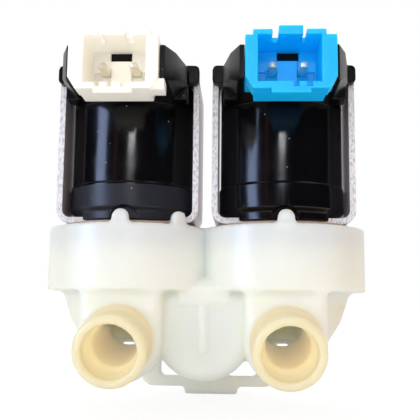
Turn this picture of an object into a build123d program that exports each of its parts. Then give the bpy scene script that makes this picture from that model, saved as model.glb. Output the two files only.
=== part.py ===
from build123d import *
import os
from math import cos, radians, sin

os.makedirs("parts", exist_ok=True)

# Twin solenoid water inlet valve, in millimetres. +Z is up along the coils, the
# hose spigots and plugs face -Y and the threaded inlet leaves along +Y. The
# origin is the middle of the mounting flange's seating face, on the inlet axis.

# Layout
pitch = 38.0                # between the two coil axes
setback = 27.0              # coil axes in front of the seating face
inlet_drop = 9.0            # inlet axis under the chambers' lower edge
y_axis = -setback
root = 0.5                  # how deep joined forms reach into each other
seat_gap = 0.1              # between stacked pieces
pin_gap = 0.05              # between a terminal and its hole
z_low = inlet_drop          # lower edge of the chambers

# Valve chambers
chamber_radius = 20.7
chamber_height = 15.4
rim_wall = 1.8
gallery_floor = 1.5         # floor of the ring gallery over the lower edge
gallery_wall = 4.3
z_rim = z_low + chamber_height

# Bowl under each chamber
bowl_neck_radius = 16.3
bowl_waist_radius = 14.7
bowl_foot_radius = 11.2
bowl_neck_drop = 2.0
bowl_waist_drop = 7.0
bowl_foot_drop = 12.6

# Outlet bosses and spigots
boss_width = 19.0
boss_reach = 18.5           # boss front ahead of the coil axis
boss_depth = 21.3           # boss bottom under the chambers' lower edge
boss_edge = 2.4             # round on the boss front
spigot_tilt = 10.0          # degrees that a spigot points down
spigot_reach = 30.3         # mouth ahead of the coil axis
spigot_drop = 13.4          # mouth centre under the chambers' lower edge
spigot_radius = 7.5
spigot_bead_radius = 8.0
spigot_bead_length = 3.6
spigot_bead_slope = 0.5
spigot_collar_radius = 8.3
spigot_collar_length = 2.4
spigot_collar_chamfer = 0.6
spigot_root_depth = 3.0     # spigot sunk behind the boss's round
spigot_bore = 6.0
spigot_bore_inner = 5.0
spigot_bore_step = 7.0
mouth_round = 0.7

# Inlet
inlet_radius = 12.1         # core of the three-quarter inch thread
inlet_reach = 13.5          # threaded end past the seating face
inlet_front = 13.0          # front cap ahead of the coil axis
inlet_cap_round = 3.4
inlet_cap_wall = 3.0
inlet_mouth_radius = 9.6
inlet_mouth_depth = 22.0
inlet_duct_radius = 8.0
inlet_lead = 0.8
riser_radius = 2.7
riser_offset = 13.5         # from the coil axis towards the middle

# Mounting flange
flange_width = 39.0
flange_height = 34.4
flange_thickness = 3.0
flange_corner = 4.0
tab_width = 15.0
tab_height = 2.0
tab_offset = 0.6
window_inner = 5.2
window_outer = 13.6
window_floor = 3.0          # bar left under each window
window_gap = 1.8            # between the inlet and a window
window_top = 8.5            # window top under the inlet axis

# Ledge, rib and posts on the body
ledge_width = 12.0
ledge_height = 2.8
ledge_reach = 13.6
rib_width = 0.9
rib_foot_drop = 14.2
rib_proud = 0.8
post_width = 4.0
post_thickness = 1.9
post_height = 3.3
post_inset = 0.4            # post front behind the chamber's wall
extra_post_angle = 42.0     # second post of the left chamber, from the front

# Armature guide
plunger_radius = 4.4
running_gap = 0.08
tube_wall = 0.9
tube_top_wall = 1.4
tube_under_top = 0.6        # closed end under the yoke's top face
spring_well = 3.2           # radius of the well over the plunger's stop
guide_flange_thickness = 3.0
guide_land = 0.8            # guide flange over the rim
guide_web = 1.6
guide_step = 1.5            # guide flange's shoulder inside the rim
guide_bevel = 0.8
tube_chamfer = 0.8
tube_bore = plunger_radius + running_gap
tube_radius = tube_bore + tube_wall
guide_radius = chamber_radius - rim_wall - seat_gap

# Yoke
yoke_width = 34.8
yoke_height = 38.4
yoke_depth = 20.7
yoke_wall = 1.5
yoke_corner = 3.4
yoke_seam = 0.4
z_yoke = z_rim + guide_land
z_coil_low = z_yoke + yoke_wall + seat_gap
z_coil_top = z_yoke + yoke_height - yoke_wall - seat_gap

# Flux sleeves, bobbin and winding
sleeve_wall = 1.1
sleeve_length = 11.0
sleeve_gap = 0.1
bobbin_core_wall = 0.9
bobbin_flange = 1.5
winding_depth = 4.5
winding_gap = 0.1
flange_over_winding = 0.6
sleeve_bore = tube_radius + sleeve_gap
sleeve_radius = sleeve_bore + sleeve_wall
bobbin_bore = sleeve_radius + sleeve_gap
bobbin_core = bobbin_bore + bobbin_core_wall
winding_radius = bobbin_core + winding_gap + winding_depth
bobbin_radius = winding_radius + flange_over_winding

# Moulded coil cover and its shelf
cover_wall = 2.0
cover_band = 0.3            # lower band proud of the barrel
band_height = 7.7
band_foot = 1.9
band_chamfer = 0.6
cover_foot = 1.6            # cover's foot inside its barrel
cover_edge = 1.0
shelf_drop = 4.6            # shelf underside under the cover's top
shelf_thickness = 4.9
shelf_shoulder = 15.2
shelf_shoulder_reach = 20.0
shelf_waist = 12.7
shelf_waist_reach = 26.0
shelf_setback = 0.6         # shelf edge behind the socket's mouth
bar_thickness = 2.6
bar_round = 1.2
bar_underside = 4.0         # corner bar's underside under the yoke's top
bar_rise = 0.9              # corner bar over the yoke's top
cover_bore = bobbin_radius + seat_gap
cover_radius = cover_bore + cover_wall

# Plug socket, moulded with the bobbin
socket_width = 20.2
socket_reach = 33.0
socket_length = 13.0
socket_rail = 3.2
socket_height = 13.0
socket_base = 1.7           # floor of the socket
socket_back = 2.2
socket_low = 6.5            # socket underside under the shelf underside
socket_roof = 1.2
keel_width = 15.4
keel_height = 2.1
keel_length = 9.0
keel_chamfer = 1.8
side_tab_width = 4.2
side_tab_offset = 5.8
latch_width = 5.3
latch_height = 0.8
latch_length = 5.0
slot_width = 1.6
slot_depth = 1.5
slot_height = 1.0
slot_spacing = 3.3
latch_window_width = 4.9
latch_window_height = 1.9
ear_width = 1.0
ear_height = 3.2
ear_setback = 1.0           # ear behind the socket's mouth
ear_length = 6.5
tongue_width = 10.4
tongue_thickness = 2.9
tongue_lift = 0.7           # tongue over the shelf's underside
tongue_join = 0.2           # tongue sunk into the socket's back

# Terminals
pin_pitch = 6.9
pin_width = 1.6
pin_height = 1.2
pin_reach = 28.6
pin_root = 14.0

# Plunger
plunger_lift = 3.0
plunger_length = 28.0
plunger_groove = 0.5
plunger_groove_width = 1.6
plunger_nose = 0.6          # chamfers at the plunger's two ends
plunger_heel = 0.4
tip_radius = 2.0
tip_length = 3.0
tip_proud = 0.4
pocket_radius = 2.9
pocket_depth = 5.0
spring_wire = 0.45
spring_radius = 2.2
spring_turns = 9

# Diaphragm and its insert
bead_height = 2.2
bead_width = 2.3
web_thickness = 0.9
hub_radius = 8.4
hub_thickness = 1.8
hub_flare = 1.2             # hub's foot out to the rolling web
hub_shoulder = 0.6
hub_bevel = 0.4
insert_lift_room = 2.0
insert_radius = 6.2
insert_plate = 1.2
insert_collar = 0.75        # plate over the diaphragm's hub
insert_step = 0.6           # lower plate inside the fins
nozzle_taper = 0.7
pilot_wall = 0.6
nozzle_radius = 1.9
nozzle_height = 2.2
pilot_radius = 0.7
seat_bore = 4.6
seat_wall = 1.4
seat_crown = 0.5
fin_radius = 4.2
fin_length = 4.5
fin_thickness = 1.0

# Inlet filter and flow regulator
filter_rim = 1.6
filter_wall = 0.8
filter_length = 12.0
filter_end_radius = 5.6
filter_slots = 12
filter_slot_width = 1.5
filter_tab_width = 6.0
filter_tab_thickness = 1.2
filter_tab_length = 5.0
filter_recess = 1.5
filter_rim_width = 1.6
filter_neck = 0.6           # cone inside its rim
filter_slot_low = 2.0       # slots from the closed end
filter_slot_high = 1.9      # and short of the rim
carrier_thickness = 4.0
carrier_wall = 1.2
carrier_pin = 1.1           # radius of the carrier's pin
carrier_pin_drop = 0.5      # pin's shoulder and point under the carrier's rim
carrier_hole = 1.4
carrier_hole_ring = 3.6
carrier_holes = 4
washer_thickness = 2.2
washer_hole = 3.0

guide_bottom = z_rim - guide_flange_thickness
bead_seat = guide_bottom - bead_height
seat_top = bead_seat - insert_lift_room
hub_top = seat_top + seat_gap + hub_thickness
nozzle_top = hub_top + nozzle_height
plunger_low = nozzle_top + tip_proud + running_gap
plunger_top = plunger_low + plunger_length
tube_stop = plunger_top + plunger_lift + seat_gap
tube_end = z_yoke + yoke_height - tube_under_top - tube_top_wall
z_shelf = z_coil_top - shelf_drop
z_socket = z_shelf - socket_low
z_socket_roof = z_socket + socket_height
z_pin = z_shelf + tongue_lift + tongue_thickness / 2
gallery_radius = chamber_radius - gallery_wall
boss_radius = boss_width / 2
z_boss = z_low - boss_depth + boss_radius


def coil_plane(x_axis):
    """Upright plane through a coil axis: local x is across, local y is the height."""
    return Plane(origin=(x_axis, y_axis, 0), x_dir=(1, 0, 0), z_dir=(0, -1, 0))


def level(x_axis, height):
    """Level plane over a coil axis: local y is towards the flange."""
    return Plane(origin=(x_axis, y_axis, height), x_dir=(1, 0, 0), z_dir=(0, 0, 1))


def coil_axis(x_axis):
    """The upright axis of one coil."""
    return Axis((x_axis, y_axis, 0), (0, 0, 1))


def facing(y_place, height=0.0):
    """Upright plane that faces the spigot side, its middle over the inlet axis."""
    return Plane(origin=(0, y_place, height), x_dir=(1, 0, 0), z_dir=(0, -1, 0))


def spigot_plane(x_axis):
    """Plane through a spigot's axis: local x runs out of the mouth."""
    lean = radians(spigot_tilt)
    return Plane(
        origin=(x_axis, y_axis - spigot_reach, z_low - spigot_drop),
        x_dir=(0, -cos(lean), -sin(lean)),
        z_dir=(1, 0, 0),
    )


inlet_axis = Axis((0, 0, 0), (0, 1, 0))
inlet_plane = Plane(origin=(0, 0, 0), x_dir=(0, 1, 0), z_dir=(1, 0, 0))
spigot_root = spigot_reach - boss_reach + boss_edge + spigot_root_depth
sides = (("left", -pitch / 2), ("right", pitch / 2))

# Valve body: one moulding of natural nylon
with BuildPart() as valve_body:
    for side, x_axis in sides:
        # chamber and the bowl under it
        with BuildSketch(coil_plane(x_axis)):
            with BuildLine():
                rim = Polyline(
                    (0, z_rim), (chamber_radius, z_rim), (chamber_radius, z_low),
                    (bowl_neck_radius + bowl_neck_drop, z_low),
                )
                RadiusArc(
                    rim @ 1, (bowl_neck_radius, z_low - bowl_neck_drop), -bowl_neck_drop
                )
                Polyline(
                    (bowl_neck_radius, z_low - bowl_neck_drop),
                    (bowl_waist_radius, z_low - bowl_waist_drop),
                    (bowl_foot_radius, z_low - bowl_foot_drop),
                    (0, z_low - bowl_foot_drop),
                    (0, z_rim),
                )
            make_face()
        revolve(axis=coil_axis(x_axis))

        # U-shaped outlet boss
        with BuildPart(mode=Mode.PRIVATE) as boss:
            with BuildSketch(facing(y_axis - boss_reach)):
                with Locations((x_axis, z_boss)):
                    Circle(boss_radius)
                with Locations((x_axis, (z_boss + z_low + rim_wall) / 2)):
                    Rectangle(boss_width, z_low + rim_wall - z_boss)
            extrude(amount=-boss_reach)
            front_face = boss.faces().sort_by(Axis.Y)[0]
            fillet(front_face.edges(), radius=boss_edge)
        add(boss.part)

    # inlet duct across the middle, with its rounded front cap
    with BuildSketch(inlet_plane):
        with BuildLine():
            cap_y = y_axis - inlet_front
            Polyline(
                (cap_y, 0), (inlet_reach, 0), (inlet_reach, inlet_radius - inlet_lead),
                (inlet_reach - inlet_lead, inlet_radius),
                (cap_y + inlet_cap_round, inlet_radius),
            )
            RadiusArc(
                (cap_y + inlet_cap_round, inlet_radius),
                (cap_y, inlet_radius - inlet_cap_round), -inlet_cap_round,
            )
            Line((cap_y, inlet_radius - inlet_cap_round), (cap_y, 0))
        make_face()
    revolve(axis=inlet_axis)

    # mounting flange with its locating tab and two windows
    with BuildSketch(facing(0)):
        RectangleRounded(flange_width, flange_height, flange_corner)
        with Locations((tab_offset, -flange_height / 2 - tab_height / 2 + root)):
            Rectangle(tab_width, tab_height + 2 * root)
        for hand in (-1, 1):
            with BuildSketch(mode=Mode.SUBTRACT):
                window_low = -flange_height / 2 + window_floor
                with Locations((
                    hand * (window_inner + window_outer) / 2,
                    (window_low - window_top) / 2,
                )):
                    Rectangle(window_outer - window_inner, -window_top - window_low)
                Circle(inlet_radius + window_gap, mode=Mode.SUBTRACT)
    extrude(amount=flange_thickness)

    # ledge between the bosses and the moulding rib down the cap
    with BuildSketch(facing(y_axis - ledge_reach)):
        with Locations((0, z_low - ledge_height / 2 + root)):
            Rectangle(ledge_width, ledge_height + 2 * root)
    extrude(amount=-ledge_reach)
    with BuildSketch(facing(y_axis - inlet_front - rib_proud)):
        rib_top = z_low
        rib_foot = z_low - rib_foot_drop
        with Locations((0, (rib_top + rib_foot) / 2)):
            Rectangle(rib_width, rib_top - rib_foot)
    extrude(amount=-rib_proud - inlet_cap_wall)

    # round-topped posts on the chamber rims
    for x_axis, turn in ((-pitch / 2, 0), (pitch / 2, 0), (-pitch / 2, extra_post_angle)):
        post_reach = chamber_radius - post_inset
        post_plane = Plane(
            origin=(
                x_axis + post_reach * sin(radians(turn)),
                y_axis - post_reach * cos(radians(turn)), z_rim,
            ),
            x_dir=(cos(radians(turn)), sin(radians(turn)), 0),
            z_dir=(sin(radians(turn)), -cos(radians(turn)), 0),
        )
        with BuildSketch(post_plane):
            with Locations((0, post_height - post_width / 2)):
                Circle(post_width / 2)
            with Locations((0, (post_height - post_width / 2 - rim_wall) / 2)):
                Rectangle(post_width, post_height - post_width / 2 + rim_wall)
        extrude(amount=-post_thickness)

    # spigots, turned about their tilted axes
    for side, x_axis in sides:
        with BuildSketch(spigot_plane(x_axis)):
            with BuildLine():
                collar_end = -(spigot_reach - boss_reach) + spigot_collar_length
                Polyline(
                    (-spigot_root, 0), (-spigot_root, spigot_collar_radius),
                    (collar_end, spigot_collar_radius),
                    (collar_end + spigot_collar_chamfer, spigot_radius),
                    (-spigot_bead_length, spigot_radius),
                    (-spigot_bead_length + spigot_bead_slope, spigot_bead_radius),
                    (-mouth_round, spigot_bead_radius),
                    (0, spigot_bead_radius - mouth_round), (0, 0), (-spigot_root, 0),
                )
            make_face()
        revolve(axis=Axis(spigot_plane(x_axis).origin, spigot_plane(x_axis).x_dir))

    # hollows: chamber with its valve seat, outlet passage, spigot bore
    for side, x_axis in sides:
        with BuildSketch(coil_plane(x_axis)):
            with BuildLine():
                Polyline(
                    (0, z_rim), (guide_radius + seat_gap, z_rim),
                    (guide_radius + seat_gap, bead_seat),
                    (gallery_radius, bead_seat), (gallery_radius, z_low + gallery_floor),
                    (seat_bore + seat_wall, z_low + gallery_floor),
                    (seat_bore + seat_wall, seat_top - seat_crown),
                    (seat_bore + seat_wall / 2, seat_top), (seat_bore, seat_top - seat_crown),
                    (seat_bore, z_boss), (0, z_boss), (0, z_rim),
                )
            make_face()
        revolve(axis=coil_axis(x_axis), mode=Mode.SUBTRACT)
        with BuildSketch(spigot_plane(x_axis)):
            with BuildLine():
                Polyline(
                    (-spigot_reach, 0), (-spigot_reach, spigot_bore_inner),
                    (-spigot_bore_step - 1.0, spigot_bore_inner),
                    (-spigot_bore_step, spigot_bore), (1, spigot_bore), (1, 0),
                    (-spigot_reach, 0),
                )
            make_face()
        revolve(
            axis=Axis(spigot_plane(x_axis).origin, spigot_plane(x_axis).x_dir),
            mode=Mode.SUBTRACT,
        )

    # inlet bore and the two risers into the ring galleries
    with BuildSketch(inlet_plane):
        with BuildLine():
            duct_end = y_axis - inlet_front + inlet_cap_wall
            Polyline(
                (inlet_reach, 0), (inlet_reach, inlet_mouth_radius),
                (inlet_reach - inlet_mouth_depth, inlet_mouth_radius),
                (inlet_reach - inlet_mouth_depth, inlet_duct_radius),
                (duct_end, inlet_duct_radius), (duct_end, 0), (inlet_reach, 0),
            )
        make_face()
    revolve(axis=inlet_axis, mode=Mode.SUBTRACT)
    for side, x_axis in sides:
        towards_middle = x_axis - riser_offset * x_axis / abs(x_axis)
        with BuildSketch(level(towards_middle, 0)):
            Circle(riser_radius)
        extrude(amount=z_low + gallery_floor + root, mode=Mode.SUBTRACT)
valve_body.part.label = "valve_body"
export_step(valve_body.part, "parts/valve_body.step")

# Pieces that each coil has: made once for the left and once for the right
for side, x_axis in sides:
    hand = 1 if side == "right" else -1

    # Bent steel strip that closes the magnetic circuit round the coil
    with BuildPart() as yoke:
        yoke_middle = z_yoke + yoke_height / 2
        with BuildSketch(coil_plane(x_axis)):
            with Locations((0, yoke_middle)):
                RectangleRounded(yoke_width, yoke_height, yoke_corner)
                RectangleRounded(
                    yoke_width - 2 * yoke_wall, yoke_height - 2 * yoke_wall,
                    yoke_corner - yoke_wall, mode=Mode.SUBTRACT,
                )
        extrude(amount=yoke_depth / 2, both=True)
        with BuildSketch(level(x_axis, z_yoke)):
            Circle(sleeve_radius + seat_gap)
        extrude(amount=yoke_height, mode=Mode.SUBTRACT)
        # seam where the strip's ends meet in the top plate
        with BuildSketch(level(x_axis, z_yoke + yoke_height - 2 * yoke_wall)):
            with Locations((-hand * yoke_width / 4 - sleeve_radius / 2, 0)):
                Rectangle(yoke_seam, yoke_depth)
        extrude(amount=2 * yoke_wall, mode=Mode.SUBTRACT)
    yoke.part.label = f"yoke_{side}"
    export_step(yoke.part, f"parts/yoke_{side}.step")

    # Rolled steel sleeves that lead the field from the yoke to the plunger
    for name, z_sleeve in (
        ("lower", z_yoke), ("upper", z_yoke + yoke_height - sleeve_length),
    ):
        with BuildPart() as flux_sleeve:
            with BuildSketch(level(x_axis, z_sleeve)):
                Circle(sleeve_radius)
                Circle(sleeve_bore, mode=Mode.SUBTRACT)
            extrude(amount=sleeve_length)
        flux_sleeve.part.label = f"flux_sleeve_{name}_{side}"
        export_step(flux_sleeve.part, f"parts/flux_sleeve_{name}_{side}.step")

    # Guide for the plunger: tube and flange in one moulding, closing the chamber
    with BuildPart() as armature_guide:
        with BuildSketch(coil_plane(x_axis)):
            with BuildLine():
                Polyline(
                    (tube_bore, guide_bottom + guide_web), (tube_bore, tube_stop),
                    (spring_well, tube_stop), (spring_well, tube_end),
                    (0, tube_end), (0, tube_end + tube_top_wall),
                    (tube_radius - tube_chamfer, tube_end + tube_top_wall),
                    (tube_radius, tube_end + tube_top_wall - tube_chamfer),
                    (tube_radius, z_yoke), (guide_radius - guide_step, z_yoke),
                    (guide_radius - guide_step, z_rim), (guide_radius, z_rim),
                    (guide_radius, guide_bottom + seat_gap),
                    (gallery_radius, guide_bottom + seat_gap),
                    (gallery_radius - guide_bevel, guide_bottom + guide_web),
                    (tube_bore, guide_bottom + guide_web),
                )
            make_face()
        revolve(axis=coil_axis(x_axis))
    armature_guide.part.label = f"armature_guide_{side}"
    export_step(armature_guide.part, f"parts/armature_guide_{side}.step")

    # Coloured bobbin with the plug socket on its tongue
    with BuildPart() as bobbin:
        with BuildSketch(coil_plane(x_axis)):
            with BuildLine():
                Polyline(
                    (bobbin_bore, z_coil_low), (bobbin_radius, z_coil_low),
                    (bobbin_radius, z_coil_low + bobbin_flange),
                    (bobbin_core, z_coil_low + bobbin_flange),
                    (bobbin_core, z_coil_top - bobbin_flange),
                    (bobbin_radius, z_coil_top - bobbin_flange),
                    (bobbin_radius, z_coil_top), (bobbin_bore, z_coil_top),
                    (bobbin_bore, z_coil_low),
                )
            make_face()
        revolve(axis=coil_axis(x_axis))
        socket_mouth = y_axis - socket_reach
        # tongue from the top flange to the socket
        with BuildSketch(level(x_axis, z_shelf + tongue_lift)):
            tongue_root = -winding_radius - winding_gap
            tongue_tip = -(socket_reach - socket_length) - tongue_join
            with Locations((0, (tongue_root + tongue_tip) / 2)):
                Rectangle(tongue_width, tongue_root - tongue_tip)
        extrude(amount=z_coil_top - z_shelf - tongue_lift)
        # socket shell
        with BuildSketch(facing(socket_mouth)):
            with Locations((x_axis, (z_socket + z_socket_roof) / 2)):
                Rectangle(socket_width, socket_height)
            with Locations((x_axis, z_socket_roof)):
                Rectangle(2 * side_tab_offset + side_tab_width, 2 * socket_roof)
        extrude(amount=-socket_length)
        # latch tab, and the notches that free it from the side tabs
        with BuildSketch(facing(socket_mouth)):
            with Locations((x_axis, z_socket_roof + (socket_roof + latch_height) / 2)):
                Rectangle(latch_width, socket_roof + latch_height)
        extrude(amount=-latch_length)
        notch_outer = side_tab_offset - side_tab_width / 2
        notch_middle = (latch_width / 2 + notch_outer) / 2
        with BuildSketch(facing(socket_mouth)):
            with Locations(
                (x_axis - notch_middle, z_socket_roof),
                (x_axis + notch_middle, z_socket_roof),
            ):
                Rectangle(notch_outer - latch_width / 2, 3 * socket_roof)
        extrude(amount=-latch_length, mode=Mode.SUBTRACT)
        # cavity
        cavity_width = socket_width - 2 * socket_rail
        cavity_low = z_socket + socket_base
        cavity_top = z_socket_roof
        with BuildSketch(facing(socket_mouth)):
            with Locations((x_axis, (cavity_low + cavity_top) / 2)):
                Rectangle(cavity_width, cavity_top - cavity_low)
        extrude(amount=-(socket_length - socket_back), mode=Mode.SUBTRACT)
        # latch window in the back wall and three slots in the floor's lip
        with BuildSketch(facing(socket_mouth)):
            with Locations((x_axis, cavity_top - latch_window_height / 2)):
                Rectangle(latch_window_width, latch_window_height)
        extrude(amount=-socket_length, mode=Mode.SUBTRACT)
        with BuildSketch(level(x_axis, z_socket + socket_base - slot_height)):
            with Locations((0, -socket_reach + slot_depth / 2)):
                with GridLocations(slot_spacing, 0, 3, 1):
                    Rectangle(slot_width, slot_depth)
        extrude(amount=slot_height, mode=Mode.SUBTRACT)
        # keel under the socket
        with BuildSketch(facing(socket_mouth)) as keel_face:
            with Locations((x_axis, z_socket - (keel_height - root) / 2)):
                Rectangle(keel_width, keel_height + root)
            lower_corners = keel_face.vertices().group_by(Axis.Y)[0]
            chamfer(lower_corners, length=keel_chamfer)
        extrude(amount=-keel_length)
        # coding ear, on the left socket's right side only
        if side == "left":
            with BuildSketch(facing(socket_mouth + ear_setback)):
                with Locations((
                    x_axis + socket_width / 2 + (ear_width - root) / 2,
                    z_socket + ear_height / 2,
                )):
                    Rectangle(ear_width + root, ear_height)
            extrude(amount=-ear_length)
        # holes for the two terminals
        with BuildSketch(facing(socket_mouth)):
            with Locations(
                (x_axis - pin_pitch / 2, z_pin), (x_axis + pin_pitch / 2, z_pin)
            ):
                Rectangle(pin_width + 2 * pin_gap, pin_height + 2 * pin_gap)
        extrude(amount=-(socket_reach - pin_root), mode=Mode.SUBTRACT)
    bobbin.part.label = f"bobbin_{side}"
    export_step(bobbin.part, f"parts/bobbin_{side}.step")

    # The two terminals, round nosed
    with BuildPart() as terminals:
        for pin_x in (-pin_pitch / 2, pin_pitch / 2):
            with BuildSketch(level(x_axis, z_pin - pin_height / 2)):
                with Locations((pin_x, -(pin_reach + pin_root) / 2)):
                    SlotOverall(pin_reach - pin_root, pin_width, rotation=90)
            extrude(amount=pin_height)
    terminals.part.label = f"terminals_{side}"
    export_step(terminals.part, f"parts/terminals_{side}.step")

    # Enamelled copper winding
    with BuildPart() as winding:
        with BuildSketch(level(x_axis, z_coil_low + bobbin_flange + seat_gap)):
            Circle(winding_radius)
            Circle(bobbin_core + winding_gap, mode=Mode.SUBTRACT)
        extrude(amount=z_coil_top - z_coil_low - 2 * (bobbin_flange + seat_gap))
    winding.part.label = f"winding_{side}"
    export_step(winding.part, f"parts/winding_{side}.step")

    # Black cover moulded over the coil, with the shelf that carries the socket
    with BuildPart() as coil_cover:
        with BuildSketch(coil_plane(x_axis)):
            with BuildLine():
                band_radius = cover_radius + cover_band
                foot_radius = cover_radius - cover_foot
                z_band = z_coil_low + band_height
                Polyline(
                    (0, z_coil_low), (foot_radius, z_coil_low),
                    (band_radius - band_chamfer, z_coil_low + band_foot - band_chamfer),
                    (band_radius, z_coil_low + band_foot),
                    (band_radius, z_band), (cover_radius, z_band + cover_band),
                    (cover_radius, z_coil_top - cover_edge),
                    (cover_radius - cover_edge, z_coil_top), (0, z_coil_top),
                    (0, z_coil_low),
                )
            make_face()
        revolve(axis=coil_axis(x_axis))
        yoke_front = -yoke_depth / 2 - seat_gap
        half = yoke_width / 2
        with BuildSketch(level(x_axis, z_shelf)):
            with BuildLine():
                Polyline(
                    (-half, yoke_front), (-half, yoke_front - bar_thickness),
                    (-shelf_shoulder, -shelf_shoulder_reach),
                    (-shelf_waist, -shelf_waist_reach),
                    (-socket_width / 2, -socket_reach + shelf_setback),
                    (socket_width / 2, -socket_reach + shelf_setback),
                    (shelf_waist, -shelf_waist_reach),
                    (shelf_shoulder, -shelf_shoulder_reach),
                    (half, yoke_front - bar_thickness), (half, yoke_front),
                    (-half, yoke_front),
                )
            make_face()
        extrude(amount=shelf_thickness)
        # bar in front of the yoke's top corners
        z_bar = z_yoke + yoke_height - bar_underside
        with BuildSketch(facing(y_axis + yoke_front - bar_thickness)):
            with Locations((x_axis, z_bar + (bar_underside + bar_rise) / 2)):
                RectangleRounded(yoke_width, bar_underside + bar_rise, bar_round)
        extrude(amount=-bar_thickness)
        # room for bobbin, winding, tongue and socket
        with BuildSketch(level(x_axis, z_coil_low)):
            Circle(cover_bore)
        extrude(amount=z_coil_top - z_coil_low, mode=Mode.SUBTRACT)
        with BuildSketch(level(x_axis, z_shelf + tongue_lift - seat_gap)):
            with Locations((0, -(socket_reach - socket_length) / 2)):
                Rectangle(
                    tongue_width + 2 * seat_gap, socket_reach - socket_length + 4 * root
                )
        extrude(amount=z_coil_top - z_shelf - tongue_lift + 2 * seat_gap, mode=Mode.SUBTRACT)
        with BuildSketch(level(x_axis, z_shelf)):
            pocket_rear = -(socket_reach - socket_length) + seat_gap
            with Locations((0, (pocket_rear - socket_reach) / 2 - root)):
                Rectangle(
                    socket_width + 2 * seat_gap, pocket_rear + socket_reach + 2 * root
                )
        extrude(amount=shelf_thickness, mode=Mode.SUBTRACT)
    coil_cover.part.label = f"coil_cover_{side}"
    export_step(coil_cover.part, f"parts/coil_cover_{side}.step")

    # Steel plunger, grooved down its sides for the water
    with BuildPart() as plunger:
        with BuildSketch(coil_plane(x_axis)):
            with BuildLine():
                Polyline(
                    (tip_radius + pin_gap, plunger_low),
                    (plunger_radius - plunger_nose, plunger_low),
                    (plunger_radius, plunger_low + plunger_nose),
                    (plunger_radius, plunger_top - plunger_heel),
                    (plunger_radius - plunger_heel, plunger_top),
                    (pocket_radius, plunger_top),
                    (pocket_radius, plunger_top - pocket_depth),
                    (0, plunger_top - pocket_depth),
                    (0, plunger_low + tip_length + pin_gap),
                    (tip_radius + pin_gap, plunger_low + tip_length + pin_gap),
                    (tip_radius + pin_gap, plunger_low),
                )
            make_face()
        revolve(axis=coil_axis(x_axis))
        with BuildSketch(level(x_axis, plunger_low)):
            with PolarLocations(plunger_radius, 2):
                Rectangle(2 * plunger_groove, plunger_groove_width)
        extrude(amount=plunger_length, mode=Mode.SUBTRACT)
    plunger.part.label = f"plunger_{side}"
    export_step(plunger.part, f"parts/plunger_{side}.step")

    # Rubber tip that closes the pilot hole
    with BuildPart() as plunger_tip:
        with BuildSketch(level(x_axis, plunger_low - tip_proud)):
            Circle(tip_radius)
        extrude(amount=tip_proud + tip_length)
    plunger_tip.part.label = f"plunger_tip_{side}"
    export_step(plunger_tip.part, f"parts/plunger_tip_{side}.step")

    # Return spring between the plunger's pocket and the closed end of the guide
    with BuildPart() as plunger_spring:
        spring_low = plunger_top - pocket_depth + spring_wire / 2 + pin_gap
        spring_high = tube_end - spring_wire / 2 - pin_gap
        spring_height = spring_high - spring_low
        with BuildLine() as coil_line:
            Helix(
                pitch=spring_height / spring_turns, height=spring_height,
                radius=spring_radius, center=(x_axis, y_axis, spring_low),
            )
        with BuildSketch(Plane(
            origin=coil_line.line @ 0, z_dir=coil_line.line % 0,
        )):
            Circle(spring_wire / 2)
        sweep(path=coil_line.line, is_frenet=True)
    plunger_spring.part.label = f"plunger_spring_{side}"
    export_step(plunger_spring.part, f"parts/plunger_spring_{side}.step")

    # Rubber diaphragm with its clamped bead, rolling web and hub
    with BuildPart() as diaphragm:
        z_web = guide_bottom - bead_height / 2
        hub_low = seat_top + seat_gap
        bead_outer = guide_radius
        bead_inner = guide_radius - bead_width
        with BuildSketch(coil_plane(x_axis)):
            with BuildLine():
                Polyline(
                    (nozzle_radius + pin_gap, hub_low), (hub_radius, hub_low),
                    (hub_radius + hub_flare, z_web - web_thickness),
                    (bead_inner, z_web - web_thickness / 2),
                    (bead_inner, bead_seat + seat_gap / 2),
                    (bead_outer, bead_seat + seat_gap / 2),
                    (bead_outer, guide_bottom), (bead_inner, guide_bottom),
                    (bead_inner, z_web + web_thickness / 2),
                    (hub_radius + hub_shoulder, z_web),
                    (hub_radius - hub_bevel, hub_top), (nozzle_radius + pin_gap, hub_top),
                    (nozzle_radius + pin_gap, hub_low),
                )
            make_face()
        revolve(axis=coil_axis(x_axis))
    diaphragm.part.label = f"diaphragm_{side}"
    export_step(diaphragm.part, f"parts/diaphragm_{side}.step")

    # Stiff insert through the diaphragm: pilot nozzle, plate and guide fins
    with BuildPart() as diaphragm_insert:
        with BuildSketch(coil_plane(x_axis)):
            with BuildLine():
                Polyline(
                    (pilot_radius, seat_top + seat_gap - insert_plate),
                    (fin_radius - insert_step, seat_top + seat_gap - insert_plate),
                    (fin_radius - insert_step, seat_top + seat_gap - pin_gap),
                    (nozzle_radius, seat_top + seat_gap - pin_gap),
                    (nozzle_radius, hub_top + pin_gap),
                    (insert_radius, hub_top + pin_gap),
                    (insert_radius, hub_top + pin_gap + insert_collar),
                    (nozzle_radius, hub_top + pin_gap + insert_collar),
                    (nozzle_radius - nozzle_taper, nozzle_top), (pilot_radius, nozzle_top),
                    (pilot_radius, seat_top + seat_gap - insert_plate),
                )
            make_face()
        revolve(axis=coil_axis(x_axis))
        with BuildSketch(level(x_axis, seat_top + seat_gap - insert_plate - fin_length)):
            Rectangle(2 * fin_radius, fin_thickness)
            Rectangle(fin_thickness, 2 * fin_radius)
            Circle(pilot_radius + pilot_wall)
            Circle(pilot_radius, mode=Mode.SUBTRACT)
        extrude(amount=fin_length + insert_plate / 2)
    diaphragm_insert.part.label = f"diaphragm_insert_{side}"
    export_step(diaphragm_insert.part, f"parts/diaphragm_insert_{side}.step")

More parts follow.
